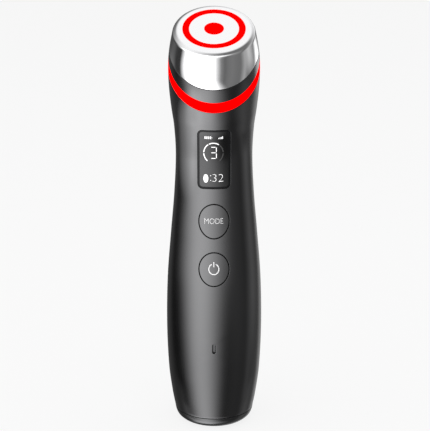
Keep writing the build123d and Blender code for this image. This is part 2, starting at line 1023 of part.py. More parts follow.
def eccentric_weight():
    """Half-round weight on the motor shaft."""
    high = weight_bottom + weight_thickness
    disc = upright(0, -motor_depth, weight_bottom, high, weight_radius)
    front_half = block(-REACH, REACH, motor_depth, REACH, weight_bottom, high)
    hub = upright(0, -motor_depth, weight_bottom, high, weight_hub_radius)
    bore = motor_shaft_radius + contact_clearance / 2
    return (disc & front_half) + hub - upright(0, -motor_depth, weight_bottom, high, bore)


# ---- Bottom cap and charging inlet ----
spigot_radius = seam_radius - wall - flush_gap
spigot_top = seam_height + spigot_length
seal_height = seam_height + seal_rise
seal_centre_radius = radius_at(seal_height) - wall - contact_clearance - seal_radius
charge_board_low = port_recess + port_length
cap_post_top = foot_height - contact_clearance
cap_post_radius = cap_screw_radius + cap_post_wall


def bottom_cap():
    """Rounded base with a spigot into the grip, screw posts and the inlet opening."""
    flank = Spline(
        (base_flat_radius, 0),
        (base_curve_radius, base_curve_rise),
        (seam_radius, seam_height - flush_gap),
        tangents=[(1, 0), (heel_radius - seam_radius, heel_rise)],
    )
    rest = Polyline(flank @ 1, (0, seam_height - flush_gap), (0, 0), flank @ 0)
    cap = revolve(Plane.XZ * make_face(flank + rest), Axis.Z)
    inside_radius = spigot_radius - spigot_thickness
    cap += upright(0, 0, cap_floor, spigot_top, spigot_radius)
    cap -= upright(0, 0, cap_floor, spigot_top, inside_radius)
    groove_low = seal_height - seal_radius
    groove_high = seal_height + seal_radius
    groove = upright(0, 0, groove_low, groove_high, REACH)
    groove -= upright(0, 0, groove_low, groove_high, seal_centre_radius - seal_radius - contact_clearance)
    cap -= groove
    for x, y in CAP_SCREW_PLACES:
        cap += upright(x, y, 0, cap_post_top, cap_post_radius)
        cap -= upright(x, y, 0, cap_post_top, cap_screw_radius + 2 * running_clearance)
        head_room = cap_screw_head_recess + cap_screw_head_height
        cap -= upright(x, y, 0, head_room, cap_screw_head_radius + 2 * running_clearance)
    for side in (-1, 1):
        cap += upright(side * ledge_post_offset, 0, cap_floor, charge_board_low, ledge_post_radius)
    return cap - port_prism(port_clearance, -OVERRUN, charge_board_low)


def port_prism(margin, z_low, z_high):
    """Obround bar along Z of the inlet's outline, grown by margin."""
    outline = SlotOverall(port_width + 2 * margin, port_depth + 2 * margin)
    return extrude(Pos(0, 0, z_low) * outline, amount=z_high - z_low)


def charge_port():
    """Metal shell of the charging inlet."""
    shell = port_prism(0, port_recess, charge_board_low)
    return shell - port_prism(-port_wall, port_recess, charge_board_low)


def port_tongue():
    """Contact tongue inside the inlet."""
    low = port_recess + tongue_recess
    tongue = Pos(0, 0, (low + charge_board_low) / 2)
    tongue = tongue * Box(tongue_width, tongue_thickness, charge_board_low - low)
    root_low = charge_board_low - tongue_root
    return tongue + port_prism(-port_wall - contact_clearance, root_low, charge_board_low)


def charge_board():
    """Round board above the inlet."""
    high = charge_board_low + charge_board_thickness
    board = upright(0, 0, charge_board_low, high, charge_board_radius)
    for x, y in CAP_SCREW_PLACES:
        board -= upright(x, y, charge_board_low, high, cap_post_radius + running_clearance)
    return board


def charge_leads():
    """Two straight wires from the charging board to the main board."""
    low = charge_board_low + charge_board_thickness
    return group(
        upright(x, -board_middle, low, board_bottom, lead_radius)
        for x in (-charge_lead_offset, -lead_offset)
    )


def cap_seal():
    """Round seal between the cap's spigot and the grip."""
    return Pos(0, 0, seal_height) * Torus(seal_centre_radius, seal_radius)


def cap_screws():
    """Two screws through the base into the frame's foot."""
    screws = []
    head_top = cap_screw_head_recess + cap_screw_head_height
    for x, y in CAP_SCREW_PLACES:
        screw = upright(x, y, cap_screw_head_recess, head_top, cap_screw_head_radius)
        screw += upright(x, y, head_top, head_top + cap_screw_length, cap_screw_radius)
        head_face = Pos(x, y, cap_screw_head_recess)
        for length, width in ((cross_slot_length, cross_slot_width), (cross_slot_width, cross_slot_length)):
            screw -= head_face * Box(length, width, 2 * cross_slot_depth)
        screws.append(screw)
    return group(screws)


def head_point(x, forward, drop):
    """Point in the device's frame from a place in the head's own frame."""
    position = (HEAD * Pos(x, -forward, -drop)).position
    return (position.X, position.Y, position.Z)


def head_harness():
    """Two wires from the top of the main board to the face light board."""
    wires = []
    for side in (-1, 1):
        x = side * harness_wire_offset
        points = [
            (x, -board_middle, board_top),
            (x, -board_middle, board_top + harness_straight),
            head_point(x, 0, face_board_bottom + harness_end_run),
            head_point(x, 0, face_board_bottom),
        ]
        wires.append(wire(points, harness_wire_radius, harness_bend))
    return group(wires)


PARTS = {
    "body_shell": body_shell,
    "bottom_cap": bottom_cap,
    "outer_electrode": outer_electrode,
    "face_ring_lens": face_ring_lens,
    "inner_electrode": inner_electrode,
    "centre_lens": centre_lens,
    "head_collar": head_collar,
    "neck_light_ring": neck_light_ring,
    "neck_sleeve": neck_sleeve,
    "neck_led_strip": neck_led_strip,
    "neck_leds": neck_leds,
    "electrode_carrier": electrode_carrier,
    "face_light_board": face_light_board,
    "face_leds": face_leds,
    "contact_pins": contact_pins,
    "head_screws": head_screws,
    "display_window": display_window,
    "display_module": display_module,
    "display_holder": display_holder,
    "display_flex": display_flex,
    "mode_button": lambda: button(mode_button_height),
    "power_button": lambda: button(power_button_height),
    "mode_switch": lambda: switch(mode_button_height),
    "power_switch": lambda: switch(power_button_height),
    "mode_plunger": lambda: plunger(mode_button_height),
    "power_plunger": lambda: plunger(power_button_height),
    "button_guide": button_guide,
    "button_gaskets": button_gaskets,
    "indicator_light_pipe": indicator_light_pipe,
    "indicator_led": indicator_led,
    "inner_frame": inner_frame,
    "main_board": main_board,
    "board_screws": board_screws,
    "processor": processor,
    "transformer_core": transformer_core,
    "transformer_coil": transformer_coil,
    "storage_capacitors": storage_capacitors,
    "buzzer": buzzer,
    "battery_cell": battery_cell,
    "battery_pads": battery_pads,
    "battery_tabs": battery_tabs,
    "battery_leads": battery_leads,
    "motor_case": motor_case,
    "motor_boot": motor_boot,
    "motor_shaft": motor_shaft,
    "eccentric_weight": eccentric_weight,
    "charge_port": charge_port,
    "port_tongue": port_tongue,
    "charge_board": charge_board,
    "charge_leads": charge_leads,
    "cap_seal": cap_seal,
    "cap_screws": cap_screws,
    "head_harness": head_harness,
}

os.makedirs("parts", exist_ok=True)
for node, make in PARTS.items():
    export_step(make(), f"parts/{node}.step")
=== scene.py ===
import json
from math import asin, atan2, cos, pi, radians, sin, sqrt, tan

import bmesh
import bpy
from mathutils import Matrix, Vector


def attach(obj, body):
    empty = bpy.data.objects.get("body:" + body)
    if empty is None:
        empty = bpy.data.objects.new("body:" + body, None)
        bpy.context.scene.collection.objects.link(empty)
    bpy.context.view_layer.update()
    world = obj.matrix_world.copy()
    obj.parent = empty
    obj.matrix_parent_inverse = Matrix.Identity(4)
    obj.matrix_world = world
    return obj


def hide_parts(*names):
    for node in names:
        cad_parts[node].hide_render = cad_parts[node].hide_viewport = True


# Facial toning device: the outer shells, their finishes, the lit display and a plain studio.
# Lengths are in millimetres until a mesh or a lamp is made; +Z is up, -Y is the front.

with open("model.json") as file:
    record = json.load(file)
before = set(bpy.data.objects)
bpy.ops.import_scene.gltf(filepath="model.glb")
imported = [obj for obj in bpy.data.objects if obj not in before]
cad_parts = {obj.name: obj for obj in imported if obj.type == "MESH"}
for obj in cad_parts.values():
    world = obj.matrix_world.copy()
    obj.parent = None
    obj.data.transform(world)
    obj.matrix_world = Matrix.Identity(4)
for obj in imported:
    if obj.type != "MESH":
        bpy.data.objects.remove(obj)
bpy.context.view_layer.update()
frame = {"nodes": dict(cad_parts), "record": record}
nodes = frame["nodes"]
MM = 0.001
MICROMETRE = 0.000001

# ---- Outer form: distance of each station along the centre line, and its radius ----
STATIONS = (
    (5.4, 17.2),
    (12.0, 18.45),
    (24.0, 19.95),
    (44.0, 20.7),
    (66.0, 20.2),
    (86.0, 18.6),
    (103.0, 17.1),
    (120.0, 16.3),
    (133.0, 16.9),
    (142.0, 17.95),
    (152.0, 18.7),
    (163.0, 18.8),
    (171.0, 18.15),
    (181.3, 16.4),
)
seam = STATIONS[0][0]
bend_start = 120.0
bend_radius = 66.0
head_tilt = radians(29.0)
face = STATIONS[-1][0]
# The skins stay this far inside the CAD solids' own outline.
skin_trim = 0.04

# ---- Shells ----
wall = 2.2
head_skin = 1.3
ring_thickness = 1.2
seam_gap = 0.08
cap_gap = 0.22
groove_gap = 0.3
edge_round = 0.12
ring_edge_round = 0.05
face_edge_round = 2.2
lens_edge_round = 0.06

# ---- Cuts round the head: level at the back, swooping down at the front ----
collar_radius = 18.8
skirt_cut = {"level": 10.0, "front": 16.4, "turn": 3.2, "radius": 40.0}
ring_cut = {"level": 13.8, "front": 23.1, "turn": 0.2, "radius": 30.0}
ring_width = 5.3

# ---- Face ----
ring_lens_outer = 12.6
ring_lens_inner = 10.0
centre_lens_radius = 3.9
lens_gap = 0.03
electrode_thickness = 1.3
lens_thickness = 2.6
# Plain strips beside the rounded rim, on the face and on the flank
flat_lead, flank_lead = 0.2, 0.3

# ---- Front openings ----
panel_half_width = 9.5
window_width, window_height, window_corner = 13.6, 25.4, 2.0
window_centre = 121.6
window_thickness = 1.4
window_ledge = 1.2
window_border = 0.5
button_width, button_height, button_gap = 13.1, 14.9, 0.35
button_flange, flange_thickness = 0.9, 0.8
stem_radius, stem_end, stem_overlap = 2.5, 10.65, 0.2
mode_centre, power_centre = 95.0, 74.5
slit_width, slit_height, slit_centre = 1.4, 4.4, 39.2
# What is left straight of the slit's round ends, on each side
slit_end_flat = 0.01

# ---- Mesh density ----
CELL_COLUMNS = 24
BACK_COLUMNS = 110
TURN_COLUMNS = 224
ROUND_STEPS = 4
FACE_EDGE_STEPS = 10
BAND_ROWS = 8
SKIRT_ROWS = 16
CIRCLE_STEPS = 48
ARC_STEPS_PER_TURN = 96
SIGN_STEP = 0.6
CAP_STEPS = 24
NECK_ROWS = 18
FOOT_ROWS = 24
BISECTIONS = 36
SHARP_ANGLE = radians(40)
CAP_SHARP_ANGLE = radians(35)
# Distances within which points are welded and slivers removed
WELD, SLIVER, SIGN_WELD = 0.002, 0.001, 0.0005
# Flat strip that leads up to a rounded edge, as a multiple of the edge's radius
EDGE_LEAD = 2.5
# Depth of the middle of a rounded edge, as a share of its radius
HALF_ROUND = 0.3
# How far the search for a point of the front reaches under and over its height
SEARCH_UNDER, SEARCH_OVER = 1.0, 40.0


# ---- Form ----
def slope_at(index):
    low = STATIONS[max(index - 1, 0)]
    high = STATIONS[min(index + 1, len(STATIONS) - 1)]
    return (high[1] - low[1]) / (high[0] - low[0])


def radius_at(distance):
    """Outer radius at a distance along the centre line."""
    index = 0
    while index < len(STATIONS) - 2 and distance > STATIONS[index + 1][0]:
        index += 1
    (low, low_radius), (high, high_radius) = STATIONS[index], STATIONS[index + 1]
    span = high - low
    t = (distance - low) / span
    ease = t * t * (3 - 2 * t)
    bulge = slope_at(index) * (1 - t) - slope_at(index + 1) * t
    return low_radius + (high_radius - low_radius) * ease + span * t * (1 - t) * bulge - skin_trim


def centre_at(distance):
    """Y, Z and forward lean of the centre line."""
    past = max(distance - bend_start, 0.0)
    lean = min(past / bend_radius, head_tilt)
    straight = past - bend_radius * lean
    y = -bend_radius * (1 - cos(lean)) - straight * sin(lean)
    z = min(distance, bend_start) + bend_radius * sin(lean) + straight * cos(lean)
    return y, z, lean


def place(distance, turn, radius):
    """Point in the section at a distance along the centre line; turn 0 is the front, a quarter turn is +X."""
    y, z, lean = centre_at(distance)
    forward = radius * cos(turn)
    return Vector((radius * sin(turn), y - forward * cos(lean), z - forward * sin(lean)))


def last_true(holds, low, high):
    """Value between low and high up to which a condition holds."""
    for _ in range(BISECTIONS):
        middle = (low + high) / 2
        if holds(middle):
            low = middle
        else:
            high = middle
    return (low + high) / 2


def front_distance(x, z, inset):
    """Distance along the centre line of the point of the front at X and Z."""

    def is_below(distance):
        radius = radius_at(distance) - inset
        _, centre_z, lean = centre_at(distance)
        return centre_z - sqrt(radius * radius - x * x) * sin(lean) < z

    return last_true(is_below, z - SEARCH_UNDER, z + SEARCH_OVER)


def front_point(x, z, inset):
    """Point of the front at X and Z, inset under the outer form."""
    distance = front_distance(x, z, inset)
    radius = radius_at(distance) - inset
    return place(distance, asin(x / radius), radius)


FACE_Y, FACE_Z, _ = centre_at(face)


def cut_drop(cut, forward):
    """Depth under the face of a swooping cut, at a distance forwards across the head."""
    slope = (cut["front"] - cut["level"]) / (collar_radius - cut["turn"])
    angle = atan2(slope, 1)
    reach = cut["radius"] * tan(angle / 2)
    past = forward - cut["turn"]
    if past <= -reach:
        return cut["level"]
    if past >= reach * cos(angle):
        return cut["level"] + slope * past
    return cut["level"] + cut["radius"] - sqrt(cut["radius"] ** 2 - (past + reach) ** 2)


def cut_distance(cut, lower, turn, inset):
    """Where the form meets a cut that is moved down by lower, as a distance along the centre line."""

    def is_under_cut(distance):
        point = place(distance, turn, radius_at(distance) - inset)
        y, z = point.y - FACE_Y, point.z - FACE_Z
        forward = -y * cos(head_tilt) - z * sin(head_tilt)
        drop = y * sin(head_tilt) - z * cos(head_tilt)
        return drop > cut_drop(cut, forward) + lower

    return last_true(is_under_cut, bend_start, face)


def mix(a, b, t):
    return a + (b - a) * t


def rounded_corner(before, corner, after, cut, steps=ROUND_STEPS):
    """Circular arc that replaces a corner of a flat profile, from cut before it to cut after it."""
    start = corner + (before - corner).normalized() * cut
    end = corner + (after - corner).normalized() * cut
    weight = sin((before - corner).angle(after - corner) / 2)
    points = []
    for i in range(steps + 1):
        t = i / steps
        w0, w1, w2 = (1 - t) ** 2, 2 * t * (1 - t) * weight, t * t
        points.append(tuple((start * w0 + corner * w1 + end * w2) / (w0 + w1 + w2)))
    return points


# ---- Mesh building ----
class Skin:
    """Collects points in millimetres and joins rows of them with faces."""

    def __init__(self):
        self.points = []
        self.faces = []
        self.marks = []

    def row(self, points):
        first = len(self.points)
        self.points += points
        return list(range(first, len(self.points)))

    def face(self, corners, mark=0):
        self.faces.append(corners)
        self.marks.append(mark)

    def join(self, a, b, closed, mark=0):
        """Quads between two rows of equal length."""
        for i in range(len(a) if closed else len(a) - 1):
            j = (i + 1) % len(a)
            self.face((a[i], a[j], b[j], b[i]), mark)

    def rows(self, rows, closed, mark=0):
        """Quads between each row of points and the next; returns the last row's indices."""
        above = self.row(rows[0])
        for points in rows[1:]:
            below = self.row(points)
            self.join(above, below, closed, mark)
            above = below
        return above

    def prism(self, rings):
        """Solid through rings of points, closed at both ends."""
        first = len(self.points)
        last = self.rows(rings, closed=True)
        self.face(tuple(range(first, first + len(rings[0]))))
        self.face(tuple(last))

    def build(self, name, materials):
        """Closed smooth mesh in metres, with its marks as material slots."""
        mesh = bpy.data.meshes.new(name)
        mesh.from_pydata([point * MM for point in self.points], [], self.faces)
        mesh.polygons.foreach_set("material_index", self.marks)
        bm = bmesh.new()
        bm.from_mesh(mesh)
        bmesh.ops.remove_doubles(bm, verts=bm.verts, dist=WELD * MM)
        bmesh.ops.dissolve_degenerate(bm, edges=bm.edges, dist=SLIVER * MM)
        bmesh.ops.recalc_face_normals(bm, faces=bm.faces)
        bm.to_mesh(mesh)
        bm.free()
        mesh.shade_smooth()
        mesh.set_sharp_from_angle(angle=SHARP_ANGLE)
        for material in materials:
            mesh.materials.append(material)
        piece = bpy.data.objects.new(name, mesh)
        bpy.context.scene.collection.objects.link(piece)
        return piece


def stand_for(piece, node, body):
    """The piece takes the place of a CAD node and moves with its body."""
    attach(piece, body)
    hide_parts(node)


# ---- Outlines in X and Z, as loops that match the sides of a rectangle ----
def ellipse_loop(half_width, half_height, centre, rows):
    """Loop from the lower left, with CELL_COLUMNS points along the bottom and rows up the side."""
    points = []
    for side, count in enumerate((CELL_COLUMNS, rows, CELL_COLUMNS, rows)):
        for i in range(count):
            angle = radians(225 + 90 * (side + i / count))
            points.append((half_width * cos(angle), centre + half_height * sin(angle)))
    return points


def rounded_loop(width, height, corner, centre, rows):
    """The same for a rounded rectangle, each side from the middle of one corner to the next."""
    points = []
    half = pi / 4
    for side, count in enumerate((CELL_COLUMNS, rows, CELL_COLUMNS, rows)):
        length, depth = (width, height) if side % 2 == 0 else (height, width)
        straight = length - 2 * corner
        total = straight + 2 * corner * half
        for i in range(count):
            along = total * i / count
            if along < corner * half:
                angle = -half + along / corner
                u, v = -straight / 2 + corner * sin(angle), corner * (1 - cos(angle))
            elif along < corner * half + straight:
                u, v = along - corner * half - straight / 2, 0.0
            else:
                angle = (along - corner * half - straight) / corner
                u, v = straight / 2 + corner * sin(angle), corner * (1 - cos(angle))
            v -= depth / 2
            x, z = ((u, v), (-v, u), (-u, -v), (v, -u))[side]
            points.append((x, centre + z))
    return points


def rectangle_loop(low, high, rows):
    """Sides of a panel cell between two heights."""
    half = panel_half_width
    corners = ((-half, low), (half, low), (half, high), (-half, high))
    points = []
    for side, count in enumerate((CELL_COLUMNS, rows, CELL_COLUMNS, rows)):
        (x0, z0), (x1, z1) = corners[side], corners[(side + 1) % 4]
        points += [(mix(x0, x1, i / count), mix(z0, z1, i / count)) for i in range(count)]
    return points


def oval_points(half_width, half_height, steps=CIRCLE_STEPS):
    angles = [2 * pi * i / steps for i in range(steps)]
    return [(half_width * cos(a), half_height * sin(a)) for a in angles]


def window_outline(rows):
    def outline(margin):
        size = (window_width + 2 * margin, window_height + 2 * margin)
        return rounded_loop(*size, window_corner + margin, window_centre, rows)

    return outline


def button_outline(centre, rows):
    def outline(margin):
        return ellipse_loop(button_width / 2 + margin, button_height / 2 + margin, centre, rows)

    return outline


def slit_outline(rows):
    def outline(margin):
        width = slit_width + 2 * margin
        return rounded_loop(width, slit_height + 2 * margin, width / 2 - slit_end_flat, slit_centre, rows)

    return outline


def on_front(loop, inset):
    return [front_point(x, z, inset) for x, z in loop]


def between(inner, outer, t):
    return [(mix(a[0], b[0], t), mix(a[1], b[1], t)) for a, b in zip(inner, outer)]


def edge_profile(margin, direction, depth, edge):
    """Margin and inset pairs over a rounded outer edge and down a wall."""
    corner = Vector((margin, 0.0))
    arc = rounded_corner(corner + Vector((direction, 0)), corner, corner + Vector((0, 1)), edge)
    start = (margin + direction * EDGE_LEAD * edge, 0.0)
    return [start] + arc + [(margin, depth)]


def patch_fill(skin, loop, inset, rows, mark=0):
    """Fills a loop with a grid of quads that follows the front."""
    bottom = loop[: CELL_COLUMNS + 1]
    right = loop[CELL_COLUMNS : CELL_COLUMNS + rows + 1]
    top = list(reversed(loop[CELL_COLUMNS + rows : 2 * CELL_COLUMNS + rows + 1]))
    left = [loop[0]] + list(reversed(loop[2 * CELL_COLUMNS + rows :]))
    grid = []
    for j in range(rows + 1):
        v = j / rows
        line = []
        for i in range(CELL_COLUMNS + 1):
            u = i / CELL_COLUMNS
            point = [
                mix(left[j][k], right[j][k], u)
                + mix(bottom[i][k], top[i][k], v)
                - mix(mix(bottom[0][k], bottom[-1][k], u), mix(top[0][k], top[-1][k], u), v)
                for k in (0, 1)
            ]
            line.append(front_point(*point, inset))
        grid.append(line)
    skin.rows(grid, closed=False, mark=mark)


# ---- Grip shell ----
def panel_cell(low, high, rows, outline, ledge=None):
    return {"low": low, "high": high, "rows": rows, "outline": outline, "ledge": ledge}


# The panel down the front, from the slit at its foot to the window at its head
BUTTON_ROWS = 24
WINDOW_ROWS = 36
CELLS = (
    panel_cell(31.7, 46.7, 16, slit_outline(16)),
    panel_cell(46.7, 63.9, 14, None),
    panel_cell(63.9, 84.75, BUTTON_ROWS, button_outline(power_centre, BUTTON_ROWS)),
    panel_cell(84.75, 105.6, BUTTON_ROWS, button_outline(mode_centre, BUTTON_ROWS)),
    panel_cell(105.6, 137.0, WINDOW_ROWS, window_outline(WINDOW_ROWS), window_ledge),
)
RING_SPACING = (0.0, 0.1, 0.24, 0.42, 0.64, 0.84, 1.0)


def ring_at(height, inset):
    """Distance and turn pairs round the grip through the panel's row at a height."""
    half = panel_half_width
    pairs = []
    for i in range(CELL_COLUMNS + 1):
        x = mix(-half, half, i / CELL_COLUMNS)
        distance = front_distance(x, height, inset)
        pairs.append((distance, asin(x / (radius_at(distance) - inset))))
    distance, turn = pairs[-1]
    for i in range(1, BACK_COLUMNS):
        pairs.append((distance, mix(turn, 2 * pi - turn, i / BACK_COLUMNS)))
    return pairs


def ring_points(pairs, inset):
    return [place(distance, turn, radius_at(distance) - inset) for distance, turn in pairs]


def top_edge(inset, down, turn):
    """Upper end of the grip, under the light ring."""
    return cut_distance(ring_cut, ring_width + seam_gap, turn, inset) - down


def shell_layer(skin, inset, down, rise, start):
    """One layer of the grip, which ends a step down from its top and a step up from its foot."""
    heights = [CELLS[0]["low"]]
    for cell in CELLS:
        step = (cell["high"] - cell["low"]) / cell["rows"]
        heights += [cell["low"] + step * (i + 1) for i in range(cell["rows"])]
    back = []
    for height in heights:
        ring = ring_at(height, inset)
        back.append(ring_points(ring[CELL_COLUMNS:] + ring[:1], inset))
    skin.rows(back, closed=False)
    for height, end, count in (
        (heights[-1], lambda turn: top_edge(inset, down, turn), NECK_ROWS),
        (heights[0], lambda turn: seam + rise, FOOT_ROWS),
    ):
        spans = [(distance, end(turn), turn) for distance, turn in ring_at(height, inset)]
        rows = []
        for i in range(count + 1):
            rows.append(ring_points([(mix(a, b, i / count), turn) for a, b, turn in spans], inset))
        skin.rows(rows, closed=True)
    for cell in CELLS:
        rectangle = rectangle_loop(cell["low"], cell["high"], cell["rows"])
        if cell["outline"] is None:
            patch_fill(skin, rectangle, inset, cell["rows"])
            continue
        inner = cell["outline"](start(cell))
        rings = [on_front(between(inner, rectangle, t), inset) for t in RING_SPACING]
        skin.rows(rings, closed=True)


def opening_profile(cell):
    """Margin and inset pairs from the outer layer down through an opening to the inner layer."""
    if cell["ledge"] is None:
        return edge_profile(0.0, 1, wall, edge_round)
    depth = window_thickness + lens_gap
    profile = edge_profile(seam_gap, 1, depth, edge_round)
    return profile + [(-cell["ledge"], depth), (-cell["ledge"], wall)]


def shell_end(skin, height, edge, edge_at):
    """Closes an end of the grip between its layers; edge_at says where, for an inset, a step and a turn."""
    outer, inner = ring_at(height, 0.0), ring_at(height, wall)
    rows = []
    for inset, step in ((0.0, edge), (HALF_ROUND * edge,) * 2, (edge, 0.0), (wall, 0.0)):
        ring = inner if inset == wall else outer
        rows.append(ring_points([(edge_at(inset, step, turn), turn) for _, turn in ring], inset))
    skin.rows(rows, closed=True)


def body_shell():
    """Hollow grip with openings for the window, the buttons and the slit."""
    skin = Skin()
    shell_layer(skin, 0.0, ring_edge_round, edge_round, lambda cell: opening_profile(cell)[0][0])
    shell_layer(skin, wall, 0.0, 0.0, lambda cell: opening_profile(cell)[-1][0])
    for cell in CELLS:
        if cell["outline"] is not None:
            profile = opening_profile(cell)
            loops = [on_front(cell["outline"](margin), inset) for margin, inset in profile]
            skin.rows(loops, closed=True)
    shell_end(skin, CELLS[-1]["high"], ring_edge_round, top_edge)
    shell_end(skin, CELLS[0]["low"], edge_round, lambda inset, rise, turn: seam + rise)
    return skin


# ---- Bands and discs swept round the centre line ----
def turned(profile_at, closed):
    """Skin swept round the centre line; profile_at gives distance and radius pairs for a turn."""
    skin = Skin()
    columns = []
    for i in range(TURN_COLUMNS):
        turn = 2 * pi * i / TURN_COLUMNS
        profile = profile_at(turn)
        if closed:
            profile = profile + profile[:1]
        columns.append([place(distance, turn, radius) for distance, radius in profile])
    skin.rows(columns + columns[:1], closed=False)
    return skin


def rounded_profile(corners, edges):
    """Distance and radius pairs round a closed section, with its corners rounded by edges."""
    points = [Vector(corner) for corner in corners]
    profile = []
    for i, (corner, edge) in enumerate(zip(points, edges)):
        if edge == 0:
            profile.append(tuple(corner))
        else:
            after = points[(i + 1) % len(points)]
            profile += rounded_corner(points[i - 1], corner, after, edge)
    return profile


def section_point(distance, inset=0.0):
    """Distance and radius on the outer form, or on a layer inset under it."""
    return Vector((distance, radius_at(distance) - inset))


def section_line(start, end, rows, inset=0.0):
    return [tuple(section_point(mix(start, end, i / rows), inset)) for i in range(rows + 1)]


def band_profile(high_cut, high_lower, low_cut, low_lower, thickness):
    """Section of a band between two cuts, rounded at its outer edges."""
    edge = ring_edge_round

    def profile_at(turn):
        high = cut_distance(high_cut, high_lower, turn, 0.0)
        low = cut_distance(low_cut, low_lower, turn, 0.0)
        high_back = section_point(cut_distance(high_cut, high_lower, turn, thickness), thickness)
        low_back = section_point(cut_distance(low_cut, low_lower, turn, thickness), thickness)
        top = rounded_corner(high_back, section_point(high), section_point(high - 1), edge)
        side = section_line(high - 2 * edge, low + 2 * edge, BAND_ROWS)
        foot = rounded_corner(section_point(low + 1), section_point(low), low_back, edge)
        back = section_line(low_back.x, high_back.x, BAND_ROWS, thickness)
        return top + side + foot + back

    return profile_at


def head_collar():
    return turned(band_profile(skirt_cut, groove_gap, ring_cut, -seam_gap, wall), True)


def neck_light_ring():
    return turned(band_profile(ring_cut, 0.0, ring_cut, ring_width, ring_thickness), True)


def outer_electrode():
    """Ring-shaped face with a rounded rim, and a flared skirt."""
    hole = ring_lens_outer + lens_gap
    rim = radius_at(face)
    plate_back = face - electrode_thickness

    def profile_at(turn):
        low = cut_distance(skirt_cut, 0.0, turn, 0.0)
        low_back = section_point(cut_distance(skirt_cut, 0.0, turn, head_skin), head_skin)
        inner_end, outer_end = Vector((face, hole)), Vector((face, rim))
        mouth = rounded_corner(Vector((face - 1, hole)), inner_end, outer_end, lens_edge_round)
        flat = [(face, mix(hole + flat_lead, rim - face_edge_round - flat_lead, i / 4)) for i in range(5)]
        flank = section_point(face - 2)
        edge = rounded_corner(inner_end, outer_end, flank, face_edge_round, FACE_EDGE_STEPS)
        side = section_line(face - face_edge_round - flank_lead, low + 2 * edge_round, SKIRT_ROWS)
        foot = rounded_corner(section_point(low + 1), section_point(low), low_back, edge_round)
        inside = section_line(low_back.x, plate_back, SKIRT_ROWS, head_skin)
        return mouth + flat + edge + side + foot + inside + [(plate_back, hole)]

    return turned(profile_at, True)


def face_disc(outer, inner, thickness):
    """Ring or disc in the face, rounded at its visible edges."""
    edge = lens_edge_round
    low = face - thickness
    flat_outer, flat_inner = outer - 3 * edge, inner + 3 * edge
    if inner == 0:
        corners = [(face, 0.0), (face, flat_outer), (face, outer), (low, outer), (low, 0.0)]
        profile = rounded_profile(corners, [0, 0, edge, 0, 0])
        return turned(lambda turn: profile, False)
    corners = [(face, inner), (face, flat_inner), (face, flat_outer), (face, outer)]
    corners += [(low, outer), (low, inner)]
    profile = rounded_profile(corners, [edge, 0, 0, edge, 0, 0])
    return turned(lambda turn: profile, True)


# ---- Window and buttons ----
def display_window():
    """Smoked window with a black printed border."""
    rows = WINDOW_ROWS
    outline = window_outline(rows)
    skin = Skin()
    border = -EDGE_LEAD * edge_round
    inner = border - window_border
    patch_fill(skin, outline(inner), 0.0, rows)
    skin.rows([on_front(outline(inner), 0.0), on_front(outline(border), 0.0)], closed=True, mark=1)
    profile = edge_profile(0.0, -1, window_thickness, edge_round)
    skin.rows([on_front(outline(margin), inset) for margin, inset in profile], closed=True, mark=1)
    patch_fill(skin, outline(0.0), window_thickness, rows, mark=1)
    return skin


def button(centre):
    """Oval key cap flush with the grip, its flange behind the wall and its stem."""
    rows = BUTTON_ROWS
    outline = button_outline(centre, rows)
    skin = Skin()
    flange_top = wall + seam_gap
    flange_low = flange_top + flange_thickness
    profile = edge_profile(-button_gap, -1, flange_top, edge_round)
    patch_fill(skin, outline(profile[0][0]), 0.0, rows)
    profile += [(button_flange, flange_top), (button_flange, flange_low)]
    skin.rows([on_front(outline(margin), inset) for margin, inset in profile], closed=True)
    patch_fill(skin, outline(button_flange), flange_low, rows)
    stem_start = front_point(0, centre, flange_low).y - stem_overlap
    circle = oval_points(stem_radius, stem_radius)
    skin.prism([[Vector((x, y, centre + z)) for x, z in circle] for y in (stem_start, -stem_end)])
    return skin


# ---- Bottom cap ----
base_radius = 12.0
base_curve = (15.8, 2.0)
cap_floor = 2.2
spigot_radius = 14.92
spigot_wall = 1.6
spigot_top = 9.5
inlet_width, inlet_height = 9.2, 3.42
inlet_depth = 8.0
cap_screw_offset = 7.5
screw_hole_radius = 2.0
screw_hole_depth = 1.8
mouth_round = 0.2
seam_low = seam - cap_gap
seam_radius = STATIONS[0][1] - skin_trim


def cap_flank():
    """Radius and height pairs of the rounded base, from its flat face to the seam."""
    start, middle, end = Vector((base_radius, 0)), Vector(base_curve), Vector((seam_radius, seam_low))
    lead_in = Vector((1.0, 0.0))
    lead_out = Vector((STATIONS[1][1] - STATIONS[0][1], STATIONS[1][0] - STATIONS[0][0])).normalized()
    through = (end - start).normalized()
    points = []
    for a, b, ta, tb in ((start, middle, lead_in, through), (middle, end, through, lead_out)):
        span = (b - a).length
        for i in range(CAP_STEPS):
            t = i / CAP_STEPS
            h1, h2 = t * t * (3 - 2 * t), t * (1 - t) ** 2
            h3 = t * t * (t - 1)
            points.append(a + (b - a) * h1 + ta * (span * h2) + tb * (span * h3))
    return [tuple(point) for point in points] + [tuple(end)]


def lathe(profile):
    """Skin of radius and height pairs turned round the upright axis."""
    skin = Skin()
    angles = [2 * pi * i / TURN_COLUMNS for i in range(TURN_COLUMNS + 1)]
    skin.rows([[Vector((r * sin(a), -r * cos(a), z)) for r, z in profile] for a in angles], closed=False)
    return skin


def cutter(name, outline, depth):
    """Prism under the base with a flared mouth; outline gives X, Y points for a margin."""
    skin = Skin()
    levels = ((2 * mouth_round, -mouth_round), (0.0, mouth_round), (0.0, depth))
    skin.prism([[Vector((x, y, z)) for x, y in outline(margin)] for margin, z in levels])
    return skin.build(name, [])


